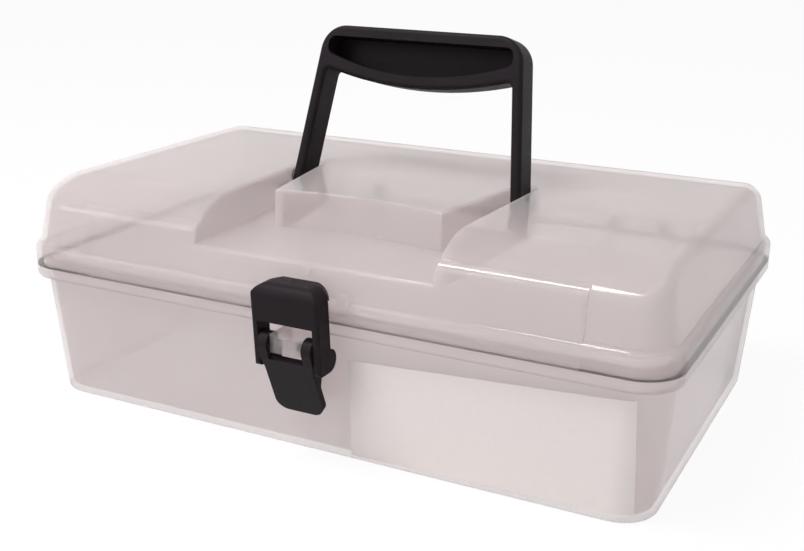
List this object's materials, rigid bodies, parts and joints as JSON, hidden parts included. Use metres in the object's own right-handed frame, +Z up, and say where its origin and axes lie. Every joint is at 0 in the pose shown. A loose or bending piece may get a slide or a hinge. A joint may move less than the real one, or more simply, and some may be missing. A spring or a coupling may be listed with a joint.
{
  "type": "storage box with handle",
  "caption": "Lidded moulded storage box with a folding bail handle in a recessed lid, a rear pin hinge and an over-centre front latch.",
  "frame": {"origin": "middle of the flat face that the box stands on", "axes": "+X along the box, -Y out of the front with the latch, +Z up"},
  "size_m": [0.2282, 0.1616, 0.126],
  "materials": {
    "clear_polypropylene": "gloss",
    "dark_plastic": "satin"
  },
  "bodies": {
    "base": {"base_tub": "clear_polypropylene"},
    "lid": {"lid": "clear_polypropylene"},
    "handle": {"handle": "dark_plastic"},
    "latch_lever": {"latch_lever": "dark_plastic"},
    "latch_frame": {"latch_frame": "dark_plastic"}
  },
  "joints": [
    {"name": "lid_hinge", "type": "hinge", "parent": "base", "child": "lid", "pos_m": [0, 0.07544, 0.049], "axis": [-1, 0, 0], "range_deg": [0, 110]},
    {"name": "handle_fold", "type": "hinge", "parent": "lid", "child": "handle", "pos_m": [0, -0.0011, 0.072], "axis": [1, 0, 0], "range_deg": [0, 104.1]},
    {"name": "lever_pivot", "type": "hinge", "parent": "base", "child": "latch_lever", "pos_m": [0, -0.07954, 0.0409], "axis": [-1, 0, 0], "range_deg": [0, 100]},
    {"name": "frame_pivot", "type": "hinge", "parent": "latch_lever", "child": "latch_frame", "pos_m": [0, -0.07734, 0.0362], "axis": [1, 0, 0], "range_deg": [0, 110]}
  ],
  "couplings": [
    {"joint": "frame_pivot", "follows": "lever_pivot", "ratio": 1.1}
  ]
}
